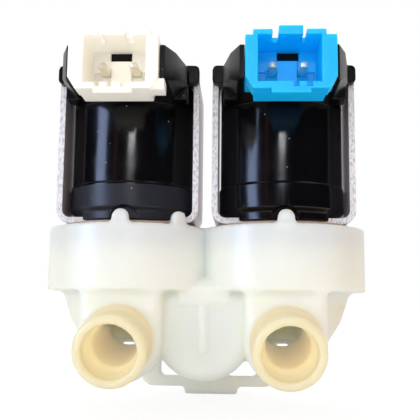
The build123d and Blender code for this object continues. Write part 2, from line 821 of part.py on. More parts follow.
# Sieve in the inlet: a slotted cone with a rim and a tab to pull it out by
filter_face = inlet_reach - filter_recess
filter_back = filter_face - filter_length
with BuildPart() as inlet_filter:
    rim_radius = inlet_mouth_radius - seat_gap
    with BuildSketch(inlet_plane):
        with BuildLine():
            Polyline(
                (filter_face, rim_radius), (filter_face, rim_radius - filter_rim_width),
                (filter_face - filter_rim, rim_radius - filter_rim_width),
                (filter_back + filter_wall, filter_end_radius - filter_wall),
                (filter_back + filter_wall, 0), (filter_back, 0),
                (filter_back, filter_end_radius),
                (filter_face - filter_rim, rim_radius - filter_neck),
                (filter_face - filter_rim, rim_radius),
                (filter_face, rim_radius),
            )
        make_face()
    revolve(axis=inlet_axis)
    with BuildSketch(facing(filter_back + filter_slot_low)):
        with PolarLocations(inlet_mouth_radius / 2 + filter_rim_width, filter_slots):
            Rectangle(inlet_mouth_radius, filter_slot_width)
        Circle(filter_end_radius - filter_wall - root, mode=Mode.SUBTRACT)
    slot_length = filter_length - filter_rim - filter_slot_low - filter_slot_high
    extrude(amount=-slot_length, mode=Mode.SUBTRACT)
    with BuildSketch(facing(filter_back)):
        Rectangle(filter_tab_width, filter_tab_thickness)
    extrude(amount=-filter_wall - filter_tab_length)
inlet_filter.part.label = "inlet_filter"
export_step(inlet_filter.part, "parts/inlet_filter.step")

# Flow regulator: a cup with a pin, and the rubber washer that closes on it
carrier_back = inlet_reach - inlet_mouth_depth + seat_gap
carrier_front = carrier_back + carrier_thickness
with BuildPart() as regulator_carrier:
    carrier_radius = inlet_mouth_radius - seat_gap
    with BuildSketch(inlet_plane):
        with BuildLine():
            Polyline(
                (carrier_back, 0), (carrier_back, carrier_radius),
                (carrier_front, carrier_radius),
                (carrier_front, carrier_radius - carrier_wall),
                (carrier_back + carrier_wall, carrier_radius - carrier_wall),
                (carrier_back + carrier_wall, carrier_pin),
                (carrier_front - 2 * carrier_pin_drop, carrier_pin),
                (carrier_front - carrier_pin_drop, 0),
                (carrier_back, 0),
            )
        make_face()
    revolve(axis=inlet_axis)
    with BuildSketch(facing(carrier_back)):
        with PolarLocations(carrier_hole_ring, carrier_holes):
            Circle(carrier_hole)
    extrude(amount=-carrier_wall, mode=Mode.SUBTRACT)
regulator_carrier.part.label = "regulator_carrier"
export_step(regulator_carrier.part, "parts/regulator_carrier.step")

with BuildPart() as regulator_washer:
    washer_radius = inlet_mouth_radius - 2 * seat_gap - carrier_wall
    with BuildSketch(facing(carrier_back + carrier_wall + seat_gap)):
        Circle(washer_radius)
        Circle(washer_hole, mode=Mode.SUBTRACT)
    extrude(amount=-washer_thickness)
regulator_washer.part.label = "regulator_washer"
export_step(regulator_washer.part, "parts/regulator_washer.step")
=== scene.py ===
import math

import bmesh
import bpy
from mathutils import Matrix, Vector


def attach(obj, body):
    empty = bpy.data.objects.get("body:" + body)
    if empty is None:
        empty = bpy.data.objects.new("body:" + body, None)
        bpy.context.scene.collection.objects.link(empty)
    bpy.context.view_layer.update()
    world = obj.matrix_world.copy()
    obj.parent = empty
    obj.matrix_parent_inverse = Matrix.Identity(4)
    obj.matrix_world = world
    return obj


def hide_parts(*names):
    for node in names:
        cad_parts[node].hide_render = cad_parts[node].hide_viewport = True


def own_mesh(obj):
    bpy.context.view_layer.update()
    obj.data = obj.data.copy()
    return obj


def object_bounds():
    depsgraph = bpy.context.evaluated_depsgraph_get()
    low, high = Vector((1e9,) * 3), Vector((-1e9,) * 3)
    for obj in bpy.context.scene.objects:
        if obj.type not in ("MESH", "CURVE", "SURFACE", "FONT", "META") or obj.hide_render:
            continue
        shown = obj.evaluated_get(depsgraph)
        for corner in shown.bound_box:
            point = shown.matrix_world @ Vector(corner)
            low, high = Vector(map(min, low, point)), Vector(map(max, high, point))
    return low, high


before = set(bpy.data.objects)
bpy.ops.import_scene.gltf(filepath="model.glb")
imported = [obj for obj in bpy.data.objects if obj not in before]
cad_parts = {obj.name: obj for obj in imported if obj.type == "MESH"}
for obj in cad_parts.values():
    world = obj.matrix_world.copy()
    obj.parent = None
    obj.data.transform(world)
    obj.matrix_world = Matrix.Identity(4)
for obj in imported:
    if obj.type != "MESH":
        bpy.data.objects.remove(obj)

cad_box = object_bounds()
MM = 0.001                      # lengths are named in millimetres; this makes them metres

# Valve body. One moulding of natural polyamide 66: both diaphragm chambers, the outlet bosses
# with their hose spigots, the inlet duct and the mounting flange. It leaves the tool with soft
# edges and a satin skin, and it is slightly translucent.


def linear(code):
    """An sRGB hex colour, such as 0xF2F4EA, as linear RGBA."""
    channels = [(code >> shift & 255) / 255 for shift in (16, 8, 0)]
    return [c / 12.92 if c <= 0.04045 else ((c + 0.055) / 1.055) ** 2.4 for c in channels] + [1.0]


def add_node(tree, kind, settings=(), inputs=()):
    """Adds one node, with its settings and with a value or a link for each input. A mix takes its
    share at input 0, and its two colours at 6 and 7 or its two numbers at 2 and 3."""
    node = tree.nodes.new(kind)
    for name, value in dict(settings).items():
        setattr(node, name, value)
    for name, value in dict(inputs).items():
        if isinstance(value, bpy.types.NodeSocket):
            tree.links.new(value, node.inputs[name])
        else:
            node.inputs[name].default_value = value
    return node


def start_material(name):
    """A new material with an empty node tree."""
    material = bpy.data.materials.new(name)
    material.use_nodes = True
    material.node_tree.nodes.clear()
    return material, material.node_tree


def link_piece(name, mesh, material, body, stands_for=()):
    """Puts a finished mesh in the scene as a piece that rides on its body."""
    piece = bpy.data.objects.new(name, mesh)
    bpy.context.scene.collection.objects.link(piece)
    mesh.materials.clear()
    mesh.materials.append(material)
    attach(piece, body)
    if stands_for:
        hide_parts(*stands_for)
    return piece


merge_gap = 0.001               # points nearer to each other than this are one


def merged_copy(node_name):
    """A copy of a CAD node's mesh with its loose triangles joined."""
    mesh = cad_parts[node_name].data.copy()
    shape = bmesh.new()
    shape.from_mesh(mesh)
    bmesh.ops.remove_doubles(shape, verts=shape.verts, dist=merge_gap * MM)
    shape.to_mesh(mesh)
    shape.free()
    return mesh


def with_modifiers(mesh, modifiers):
    """The mesh that the modifiers make of a mesh, as a plain mesh of its own."""
    carrier = bpy.data.objects.new("carrier", mesh)
    bpy.context.scene.collection.objects.link(carrier)
    for kind, settings in modifiers:
        modifier = carrier.modifiers.new(kind, kind)
        for name, value in settings.items():
            setattr(modifier, name, value)
    graph = bpy.context.evaluated_depsgraph_get()
    result = bpy.data.meshes.new_from_object(carrier.evaluated_get(graph), depsgraph=graph)
    bpy.data.objects.remove(carrier)
    return result


half_spacing = 19.0             # from the valve's middle to the axis of each coil and each spigot
y_axis = -27.0                  # of both coils and both chambers
spigot_z = -3.9                 # height of both spigots' axes
body_grain = 0.58               # size of the even mesh that rounds the moulding's edges


def natural_polyamide():
    """Natural polyamide 66, moulded: satin ivory with a green cast, gone amber on the spigots. The tan on the
    flanks, strongest on the right and low by the bowls, is painted shade. A faint emission in the bores
    stands for the light through their walls."""
    cloud_size = 18.0
    grain_size = 0.5            # coarser than the tool's own grain, so that it shows
    grain_depth = 0.03
    scatter_depth = 7.0
    material, tree = start_material("natural_polyamide_66")
    place = add_node(tree, "ShaderNodeTexCoord").outputs["Object"]
    axes = add_node(tree, "ShaderNodeSeparateXYZ", inputs={"Vector": place}).outputs
    half = add_node(tree, "ShaderNodeMath", {"operation": "ABSOLUTE"}, {0: axes["X"]})
    aside = add_node(tree, "ShaderNodeMath", {"operation": "SUBTRACT"}, {
        0: half.outputs[0], 1: half_spacing * MM})
    above = add_node(tree, "ShaderNodeMath", {"operation": "SUBTRACT"}, {0: axes["Z"], 1: spigot_z * MM})
    off_axis = add_node(tree, "ShaderNodeCombineXYZ", inputs={"X": aside.outputs[0], "Y": above.outputs[0]})
    radius = add_node(tree, "ShaderNodeVectorMath", {"operation": "LENGTH"}, {0: off_axis.outputs[0]})
    fades = {}
    for name, value, start, end, most in (
            ("ahead", axes["Y"], -45.4, -48.5, 1.0),            # of the outlet bosses
            ("under", axes["Z"], 8.6, 5.0, 1.0),                # the chambers' rims
            ("in_bore", radius.outputs["Value"], 6.8, 6.0, 1.0),
            ("front_half", axes["Y"], y_axis, y_axis - 4.0, 1.0),
            ("right_flank", axes["X"], 24.0, 39.0, 0.75),
            ("left_flank", axes["X"], -24.0, -39.0, 0.3),
            ("behind_mouth", axes["Y"], -57.0, -52.0, 1.0)):    # of each spigot
        fade = add_node(tree, "ShaderNodeMapRange", {"interpolation_type": "SMOOTHSTEP"}, {
            "Value": value, "From Min": start * MM, "From Max": end * MM, "To Max": most})
        fades[name] = fade.outputs["Result"]
    spigot = add_node(tree, "ShaderNodeMath", {"operation": "MULTIPLY"}, {
        0: fades["ahead"], 1: fades["under"]})
    bore_seen = add_node(tree, "ShaderNodeMath", {"operation": "MULTIPLY"}, {
        0: fades["in_bore"], 1: fades["front_half"]})
    amber = add_node(tree, "ShaderNodeMath", {"operation": "MAXIMUM"}, {
        0: spigot.outputs[0], 1: bore_seen.outputs[0]})
    cloud = add_node(tree, "ShaderNodeTexNoise", inputs={
        "Vector": place, "Scale": 1 / (cloud_size * MM), "Detail": 2.0})
    ivory = add_node(tree, "ShaderNodeMix", {"data_type": "RGBA"}, {
        0: cloud.outputs["Fac"], 6: linear(0xEEF3E8), 7: linear(0xF3F3EB)})
    # Painted shade: the flanks are darkened to tan, the right one more than the left, and most low down under
    # the chambers' rims.
    flanks = add_node(tree, "ShaderNodeMath", {"operation": "ADD"}, {
        0: fades["right_flank"], 1: fades["left_flank"]})
    low_share = add_node(tree, "ShaderNodeMapRange", inputs={
        "Value": fades["under"], "To Min": 0.3, "To Max": 1.0})
    flank_shade = add_node(tree, "ShaderNodeMath", {"operation": "MULTIPLY"}, {
        0: flanks.outputs[0], 1: low_share.outputs["Result"]})
    flank_shaded_ivory = add_node(tree, "ShaderNodeMix", {"data_type": "RGBA"}, {
        0: flank_shade.outputs[0], 6: ivory.outputs[2], 7: linear(0xCDB890)})
    skin = add_node(tree, "ShaderNodeMix", {"data_type": "RGBA"}, {
        0: amber.outputs[0], 6: flank_shaded_ivory.outputs[2], 7: linear(0xEADCB8)})
    lit_through = add_node(tree, "ShaderNodeMath", {"operation": "MULTIPLY"}, {
        0: bore_seen.outputs[0], 1: fades["behind_mouth"]})
    glow = add_node(tree, "ShaderNodeMath", {"operation": "MULTIPLY"}, {0: lit_through.outputs[0], 1: 0.2})
    grain = add_node(tree, "ShaderNodeTexNoise", inputs={
        "Vector": place, "Scale": 1 / (grain_size * MM), "Detail": 3.0})
    bump = add_node(tree, "ShaderNodeBump", inputs={
        "Height": grain.outputs["Fac"], "Strength": 0.25, "Distance": grain_depth * MM})
    shader = add_node(tree, "ShaderNodeBsdfPrincipled", inputs={
        "Base Color": skin.outputs[2], "Roughness": 0.34, "IOR": 1.53,
        "Subsurface Weight": 0.8, "Subsurface Radius": (1.0, 0.85, 0.6),
        "Subsurface Scale": scatter_depth * MM, "Emission Color": linear(0xEEE2CC),
        "Emission Strength": glow.outputs[0], "Normal": bump.outputs["Normal"]})
    add_node(tree, "ShaderNodeOutputMaterial", inputs={"Surface": shader.outputs[0]})
    return material


body_mesh = with_modifiers(merged_copy("valve_body"), [
    ("REMESH", {"mode": "VOXEL", "voxel_size": body_grain * MM, "use_smooth_shade": True}),
    ("SMOOTH", {"factor": 0.5, "iterations": 3}),
])
ivory_polyamide = natural_polyamide()
link_piece("body_moulding", body_mesh, ivory_polyamide, "valve", ["valve_body"])

# Inlet thread. Three-quarter inch pipe thread, moulded on the inlet with narrow crests; its
# ridge winds up out of the plain core and sinks into it again at the far end.


def start_tree(name, sizes):
    """A geometry tree whose sizes are named inputs, followed by its material."""
    tree = bpy.data.node_groups.new(name, "GeometryNodeTree")
    for label in sizes:
        tree.interface.new_socket(name=label, in_out="INPUT", socket_type="NodeSocketFloat")
    tree.interface.new_socket(name="Material", in_out="INPUT", socket_type="NodeSocketMaterial")
    tree.interface.new_socket(name="Geometry", in_out="OUTPUT", socket_type="NodeSocketGeometry")
    return tree, tree.nodes.new("NodeGroupInput").outputs


def finish_tree(tree, geometry, material):
    """Ends a geometry tree in real geometry that carries its material."""
    smooth = add_node(tree, "GeometryNodeSetShadeSmooth", inputs={"Geometry": geometry})
    real = add_node(tree, "GeometryNodeRealizeInstances", inputs={"Geometry": smooth.outputs[0]})
    painted = add_node(tree, "GeometryNodeSetMaterial", inputs={
        "Geometry": real.outputs[0], "Material": material})
    add_node(tree, "NodeGroupOutput", inputs={"Geometry": painted.outputs[0]})


def helix_line(tree, sizes, steps):
    """A helix up the Z axis whose normals stay level, and the number of its turns."""
    turns = add_node(tree, "ShaderNodeMath", {"operation": "DIVIDE"}, {0: sizes["Length"], 1: sizes["Pitch"]})
    line = add_node(tree, "GeometryNodeCurveSpiral", inputs={
        "Resolution": steps, "Rotations": turns.outputs[0],
        "Start Radius": sizes["Radius"], "End Radius": sizes["Radius"], "Height": sizes["Length"]})
    level = add_node(tree, "GeometryNodeSetCurveNormal", {"mode": "Z_UP"}, {"Curve": line.outputs[0]})
    return level.outputs[0], turns.outputs[0]


def thread_tree():
    """A ridge of trapezoid section wound round a core, that fades over its first and last turn."""
    least_share = 0.04          # of the section's size, left at both ends
    tree, sizes = start_tree(
        "wound_thread", ("Radius", "Pitch", "Length", "Foot", "Crest", "Rise", "Sunk", "Ease"))
    helix, turns = helix_line(tree, sizes, steps=72)
    place = add_node(tree, "GeometryNodeSplineParameter").outputs["Factor"]
    begun = add_node(tree, "ShaderNodeMath", {"operation": "MULTIPLY"}, {0: place, 1: turns})
    left_over = add_node(tree, "ShaderNodeMath", {"operation": "SUBTRACT"}, {0: turns, 1: begun.outputs[0]})
    from_end = add_node(tree, "ShaderNodeMath", {"operation": "MINIMUM"}, {
        0: begun.outputs[0], 1: left_over.outputs[0]})
    share = add_node(tree, "ShaderNodeClamp", inputs={
        "Value": from_end.outputs[0], "Min": least_share, "Max": 1.0})
    section = add_node(tree, "GeometryNodeCurvePrimitiveQuadrilateral", {"mode": "TRAPEZOID"}, {
        "Height": sizes["Rise"], "Bottom Width": sizes["Foot"], "Top Width": sizes["Crest"], "Offset": 0.0})
    half_rise = add_node(tree, "ShaderNodeMath", {"operation": "MULTIPLY"}, {0: sizes["Rise"], 1: 0.5})
    outward = add_node(tree, "ShaderNodeMath", {"operation": "SUBTRACT"}, {
        0: sizes["Sunk"], 1: half_rise.outputs[0]})
    shift = add_node(tree, "ShaderNodeCombineXYZ", inputs={"X": outward.outputs[0]})
    upright = add_node(tree, "GeometryNodeTransform", inputs={
        "Geometry": section.outputs[0], "Translation": shift.outputs[0],
        "Rotation": (0, 0, math.radians(90))})
    rounded = add_node(tree, "GeometryNodeFilletCurve", {"mode": "POLY"}, {
        "Curve": upright.outputs[0], "Count": 3, "Radius": sizes["Ease"], "Limit Radius": True})
    swept = add_node(tree, "GeometryNodeCurveToMesh", inputs={
        "Curve": helix, "Profile Curve": rounded.outputs[0],
        "Scale": share.outputs["Result"], "Fill Caps": True})
    finish_tree(tree, swept.outputs[0], sizes["Material"])
    return tree


def grow(name, tree, values, material, place=Matrix()):
    """The plain mesh that a geometry tree makes with these values, moved to its place."""
    carrier = bpy.data.objects.new(name, bpy.data.meshes.new(name))
    bpy.context.scene.collection.objects.link(carrier)
    modifier = carrier.modifiers.new(name, "NODES")
    modifier.node_group = tree
    for item in tree.interface.items_tree:
        if item.in_out == "INPUT":
            modifier[item.identifier] = material if item.name == "Material" else values[item.name]
    graph = bpy.context.evaluated_depsgraph_get()
    mesh = bpy.data.meshes.new_from_object(carrier.evaluated_get(graph), depsgraph=graph)
    bpy.data.objects.remove(carrier)
    mesh.transform(place)
    return mesh


thread_start = 1.9              # how far behind the origin the first turn begins
thread_values = {
    "Radius": 12.1 * MM, "Pitch": 1.814 * MM, "Length": 10.6 * MM, "Foot": 1.66 * MM,
    "Crest": 0.5 * MM, "Rise": 1.2 * MM, "Sunk": 0.1 * MM, "Ease": 0.18 * MM,
}
along_inlet = Matrix.Translation((0, thread_start * MM, 0)) @ Matrix.Rotation(math.radians(-90), 4, "X")
thread_mesh = grow("inlet_thread", thread_tree(), thread_values, ivory_polyamide, along_inlet)
link_piece("inlet_thread", thread_mesh, ivory_polyamide, "valve")

# Coil covers. Glossy black polyamide moulded over each wound bobbin: a barrel with a slightly
# proud band at its foot, and a shelf that tapers forward to carry the plug socket.


def black_polyamide():
    """Black glass-filled polyamide with a polished-tool gloss, faint ripples and specks of dust; the shelves
    and the band of the left cover are duller, and that band is painted a lighter blue-grey as a painted
    sheen."""
    speck_spacing = 3.4
    patch_size = 6.0            # of places with more and with less polish
    ripple_size = 5.0
    ripple_depth = 0.06
    material, tree = start_material("black_overmoulding")
    place = add_node(tree, "ShaderNodeTexCoord").outputs["Object"]
    speck = add_node(tree, "ShaderNodeTexVoronoi", inputs={
        "Vector": place, "Scale": 1 / (speck_spacing * MM), "Randomness": 1.0})
    dust = add_node(tree, "ShaderNodeMapRange", inputs={
        "Value": speck.outputs["Distance"], "From Min": 0.035, "From Max": 0.055,
        "To Min": 1.0, "To Max": 0.0})
    patch = add_node(tree, "ShaderNodeTexNoise", inputs={
        "Vector": place, "Scale": 1 / (patch_size * MM), "Detail": 3.0})
    polish = add_node(tree, "ShaderNodeMapRange", inputs={
        "Value": patch.outputs["Fac"], "From Min": 0.3, "From Max": 0.7,
        "To Min": 0.12, "To Max": 0.22})
    axes = add_node(tree, "ShaderNodeSeparateXYZ", inputs={"Vector": place}).outputs
    fades = {}
    for name, value, start, end in (
            ("shelf", axes["Z"], 54.0, 55.0),
            ("band", axes["Z"], 34.2, 34.0),
            ("left_cover", axes["X"], 0.5, -0.5)):
        fade = add_node(tree, "ShaderNodeMapRange", inputs={
            "Value": value, "From Min": start * MM, "From Max": end * MM})
        fades[name] = fade.outputs["Result"]
    left_band = add_node(tree, "ShaderNodeMath", {"operation": "MULTIPLY"}, {
        0: fades["band"], 1: fades["left_cover"]})
    dull = add_node(tree, "ShaderNodeMath", {"operation": "MAXIMUM"}, {
        0: fades["shelf"], 1: left_band.outputs[0]})
    # Painted sheen: the left cover's band is painted a lighter blue-grey for the light it catches; its duller
    # roughness is real.
    black = add_node(tree, "ShaderNodeMix", {"data_type": "RGBA"}, {
        0: left_band.outputs[0], 6: linear(0x09090C), 7: linear(0x23262E)})
    skin = add_node(tree, "ShaderNodeMix", {"data_type": "RGBA"}, {
        0: dust.outputs["Result"], 6: black.outputs[2], 7: linear(0x9A9A9E)})
    rough = add_node(tree, "ShaderNodeMix", {"data_type": "FLOAT"}, {
        0: dull.outputs[0], 2: polish.outputs["Result"], 3: 0.36})
    mirror = add_node(tree, "ShaderNodeMapRange", inputs={
        "Value": fades["shelf"], "To Min": 0.35, "To Max": 0.2})
    ripple = add_node(tree, "ShaderNodeTexNoise", inputs={
        "Vector": place, "Scale": 1 / (ripple_size * MM), "Detail": 1.0})
    bump = add_node(tree, "ShaderNodeBump", inputs={
        "Height": ripple.outputs["Fac"], "Strength": 0.6, "Distance": ripple_depth * MM})
    shader = add_node(tree, "ShaderNodeBsdfPrincipled", inputs={
        "Base Color": skin.outputs[2], "Roughness": rough.outputs[0], "IOR": 1.45,
        "Specular IOR Level": mirror.outputs["Result"], "Normal": bump.outputs["Normal"]})
    add_node(tree, "ShaderNodeOutputMaterial", inputs={"Surface": shader.outputs[0]})
    return material


hard_angle = math.radians(34)   # faces that meet at more than this make an edge


def eased(mesh, width, segments=2):
    """A mesh whose hard edges are eased by a small round, as they leave the mould."""
    shape = bmesh.new()
    shape.from_mesh(mesh)
    bmesh.ops.remove_doubles(shape, verts=shape.verts, dist=merge_gap * MM)
    bmesh.ops.triangulate(shape, faces=shape.faces)
    hard = [e for e in shape.edges if len(e.link_faces) == 2 and e.calc_face_angle(0.0) > hard_angle]
    bmesh.ops.bevel(
        shape, geom=hard, offset=width * MM, offset_type="OFFSET", segments=segments, profile=0.5,
        affect="EDGES", clamp_overlap=False, loop_slide=True)
    shape.to_mesh(mesh)
    shape.free()
    mesh.shade_smooth()
    mesh.set_sharp_from_angle(angle=hard_angle)
    return with_modifiers(mesh, [
        ("WEIGHTED_NORMAL", {"mode": "FACE_AREA", "weight": 100, "keep_sharp": True})])


def closed_mesh(rings, capped):
    """A closed mesh through rings of points in millimetres, capped at both ends or joined round."""
    shape = bmesh.new()
    rows = [[shape.verts.new(Vector(point) * MM) for point in ring] for ring in rings]
    if capped:
        shape.faces.new(rows[0])
        shape.faces.new(rows[-1])
    else:
        rows.append(rows[0])
    for near, far in zip(rows, rows[1:]):
        for i in range(len(near)):
            shape.faces.new((near[i - 1], near[i], far[i], far[i - 1]))
    bmesh.ops.recalc_face_normals(shape, faces=shape.faces)
    mesh = bpy.data.meshes.new("solid")
    shape.to_mesh(mesh)
    shape.free()
    return mesh


def drawn(outline, along, start, end):
    """An outline across X (y, z), Y (x, z) or Z (x, y), drawn out from start to end."""
    at = "XYZ".index(along)
    rings = [[(*point[:at], depth, *point[at:]) for point in outline] for depth in (start, end)]
    return closed_mesh(rings, capped=True)


def mirrored(middle, half_outline):
    """A whole outline from its half, whose points are given from the middle."""
    return ([(middle + across, along) for across, along in half_outline]
            + [(middle - across, along) for across, along in reversed(half_outline)])


def about(middle, half):
    """The span that reaches as far to both sides of a middle."""
    return (middle - half, middle + half)


def block(x_span, y_span, z_span):
    """A rectangular block between two values on each axis."""
    (left, right), (low, high) = x_span, z_span
    return drawn([(left, low), (right, low), (right, high), (left, high)], "Y", *y_span)


def arc(across, up, radius, first=0, last=360, steps=64):
    """Points on an arc, by its middle, its radius and its first and last angle in degrees."""
    count = steps if last - first == 360 else steps + 1
    angles = [math.radians(first + (last - first) * i / steps) for i in range(count)]
    return [(across + radius * math.cos(a), up + radius * math.sin(a)) for a in angles]


def turned(profile, x_axis, steps=96):
    """A ring turned about a coil's axis from (radius, height) points."""
    turns = [math.radians(360 * i / steps) for i in range(steps)]
    return closed_mesh([
        [(x_axis + r * math.cos(a), y_axis + r * math.sin(a), z) for r, z in profile] for a in turns],
        capped=False)


def carved(mesh, steps):
    """A mesh after others are joined to it or cut from it, in this order."""
    holders = []
    modifiers = []
    for operation, tool in steps:
        holder = bpy.data.objects.new("tool", tool)
        bpy.context.scene.collection.objects.link(holder)
        holders.append(holder)
        modifiers.append(("BOOLEAN", {"operation": operation, "object": holder, "solver": "EXACT"}))
    result = with_modifiers(mesh, modifiers)
    for holder in holders:
        bpy.data.objects.remove(holder)
    return result


hand_of = {"left": -1, "right": 1}
coil_low, coil_top = 26.8, 62.0
cover_bore = 12.88
barrel_radius = 15.48
band_radius = 15.78
band_top = 34.5
skirt_radius = 15.0
skirt_low, skirt_top = 25.8, 28.7
skirt_floor = 0.5               # thickness of the skirt under the coil
arch_radius = 3.3               # of the hollow in the skirt's front
half_yoke = 10.45               # how far the yoke reaches before and behind the coils' axes
yoke_front = y_axis - half_yoke
shelf_low, shelf_top = 54.6, 62.3
slant_foot, slant_side = 11.4, 15.4
slant_rise = 4.0
half_crest = 6.5
crest_top = 64.6
half_bar = 17.4                 # the bar spans the yoke's upper corners
bar_round = 1.2
bar_heights = (60.6, 62.7)      # of the middles of its rounded corners
socket_mouth = y_axis - 33.0
socket_back = socket_mouth + 12.0
socket_shift = 0.3              # from the coil's axis outwards to the middle of its socket
half_socket = 9.9
pin_z = 58.65
half_tongue = 5.2
tongue_low = pin_z - 1.5
fit_gap = 0.1
lap = 0.5                       # how far two joined blocks run into each other
clear = 1.0                     # how far a cutting block stands past the face that it cuts
cover_ease = 0.3


def cover_solid(hand):
    """Barrel with its band and skirt, tapered shelf, crest and the bar at the yoke's corners."""
    x_axis = hand * half_spacing
    barrel = turned([
        (cover_bore, coil_low), (13.9, coil_low), (15.2, 28.1), (band_radius, skirt_top),
        (band_radius, band_top), (barrel_radius, band_top + 0.3), (barrel_radius, 60.8),
        (14.3, coil_top), (cover_bore, coil_top)], x_axis)
    skirt_turn = math.degrees(math.acos(half_yoke / skirt_radius))
    skirt = drawn(
        arc(x_axis, y_axis, skirt_radius, 270 - skirt_turn, 270 + skirt_turn, 24),
        "Z", skirt_low, skirt_top)
    arch = drawn(arc(x_axis, skirt_low - fit_gap, arch_radius), "Y", y_axis - 16.28, y_axis - 13.68)
    half_shelf = [(14.7, yoke_front), (14.7, y_axis - 17.4), (12.9, y_axis - 26.2), (10.8, y_axis - 31.4)]
    shelf = drawn(mirrored(x_axis, half_shelf), "Z", shelf_low, shelf_top)
    slants = [
        drawn([(x_axis + way * slant_foot, shelf_low),
               (x_axis + way * slant_side, shelf_low + slant_rise),
               (x_axis + way * slant_side, shelf_low - clear),
               (x_axis + way * (slant_foot - clear), shelf_low - clear)],
              "Y", y_axis - 38.0, yoke_front - 5.0)
        for way in (-1, 1)]
    crest = block(about(x_axis, half_crest), (y_axis - 21.0, yoke_front), (shelf_top - lap, crest_top))
    low, high = bar_heights
    bar_outline = []
    for way, height, first, last in (
            (1, high, 0, 90), (-1, high, 90, 180), (-1, low, 180, 270), (1, low, 270, 359.9)):
        bar_outline += arc(x_axis + way * (half_bar - bar_round), height, bar_round, first, last, 6)
    bar = drawn(bar_outline, "Y", yoke_front - 2.6, yoke_front)
    coil_room = drawn(arc(x_axis, y_axis, cover_bore), "Z", skirt_low + skirt_floor, coil_top + 0.001)
    tongue_room = block(
        about(x_axis, half_tongue + fit_gap), (y_axis - 22.0, y_axis + 1.0),
        (tongue_low - fit_gap, coil_top + fit_gap))
    socket_room = block(
        about(x_axis + hand * socket_shift, half_socket + fit_gap),
        (socket_mouth - clear, socket_back + fit_gap), (shelf_low - lap, crest_top + lap))
    return carved(barrel, [
        ("UNION", skirt), ("DIFFERENCE", arch), ("UNION", shelf),
        ("DIFFERENCE", slants[0]), ("DIFFERENCE", slants[1]), ("UNION", crest), ("UNION", bar),
        ("DIFFERENCE", coil_room), ("DIFFERENCE", tongue_room), ("DIFFERENCE", socket_room),
    ])


cover_black = black_polyamide()
for side, hand in hand_of.items():
    link_piece(
        f"coil_cover_moulding_{side}", eased(cover_solid(hand), cover_ease, 3),
        cover_black, "valve", [f"coil_cover_{side}"])

# Yokes. Mild steel strip, zinc plated, bent round each coil; its sheared edges face forward and
# back, torn and bright, and its rolled faces are grey.


yoke_ease = 0.12


def dress_node(node_name, material):
    """Gives a CAD node that stays in sight its finish."""
    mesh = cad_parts[node_name].data
    mesh.materials.clear()
    mesh.materials.append(material)


def zinc_strip():
    """Zinc-plated strip: grey rolled faces, and mottled bright edges where it was sheared."""
    tear_size = 0.45
    tear_depth = 0.15
    cloud_size = 7.0
    material, tree = start_material("zinc_plated_steel")
    place = add_node(tree, "ShaderNodeTexCoord").outputs["Object"]
    facing = add_node(tree, "ShaderNodeSeparateXYZ", inputs={
        "Vector": add_node(tree, "ShaderNodeNewGeometry").outputs["True Normal"]})
    across = add_node(tree, "ShaderNodeMath", {"operation": "ABSOLUTE"}, {0: facing.outputs["Y"]})
    edge = add_node(tree, "ShaderNodeMapRange", inputs={
        "Value": across.outputs[0], "From Min": 0.55, "From Max": 0.8})
    torn_along = add_node(tree, "ShaderNodeMapping", inputs={"Vector": place, "Scale": (1.0, 1.0, 0.4)})
    torn = add_node(tree, "ShaderNodeTexNoise", inputs={
        "Vector": torn_along.outputs["Vector"], "Scale": 1 / (tear_size * MM), "Detail": 4.0,
        "Roughness": 0.65})
    torn_tone = add_node(tree, "ShaderNodeMapRange", inputs={
        "Value": torn.outputs["Fac"], "From Min": 0.3, "From Max": 0.55})
    sheared = add_node(tree, "ShaderNodeMix", {"data_type": "RGBA"}, {
        0: torn_tone.outputs["Result"], 6: linear(0x9C9AA4), 7: linear(0xEAE8EC)})
    cloud = add_node(tree, "ShaderNodeTexNoise", inputs={
        "Vector": place, "Scale": 1 / (cloud_size * MM), "Detail": 3.0})
    rolled = add_node(tree, "ShaderNodeMix", {"data_type": "RGBA"}, {
        0: cloud.outputs["Fac"], 6: linear(0xC9BEC2), 7: linear(0xDAD0D4)})
    tone = add_node(tree, "ShaderNodeMix", {"data_type": "RGBA"}, {
        0: edge.outputs["Result"], 6: rolled.outputs[2], 7: sheared.outputs[2]})
    rough = add_node(tree, "ShaderNodeMapRange", inputs={
        "Value": edge.outputs["Result"], "To Min": 0.32, "To Max": 0.6})
    bare = add_node(tree, "ShaderNodeMapRange", inputs={
        "Value": edge.outputs["Result"], "To Min": 0.25, "To Max": 0.15})
    depth = add_node(tree, "ShaderNodeMath", {"operation": "MULTIPLY"}, {
        0: torn.outputs["Fac"], 1: edge.outputs["Result"]})
    bump = add_node(tree, "ShaderNodeBump", inputs={
        "Height": depth.outputs[0], "Strength": 0.8, "Distance": tear_depth * MM})
    shader = add_node(tree, "ShaderNodeBsdfPrincipled", inputs={
        "Base Color": tone.outputs[2], "Roughness": rough.outputs["Result"],
        "Metallic": bare.outputs["Result"], "Normal": bump.outputs["Normal"]})
    add_node(tree, "ShaderNodeOutputMaterial", inputs={"Surface": shader.outputs[0]})
    return material


zinc_steel = zinc_strip()
for side in hand_of:
    link_piece(
        f"yoke_strip_{side}", eased(merged_copy(f"yoke_{side}"), yoke_ease), zinc_steel,
        "valve", [f"yoke_{side}"])
    for level in ("lower", "upper"):
        dress_node(f"flux_sleeve_{level}_{side}", zinc_steel)

# Bobbins. Each is the spool of its winding and, in one moulding with it, a tongue and the plug
# socket in front. The polyamide is coloured to tell the two plugs apart: white on the left, blue on
# the right.


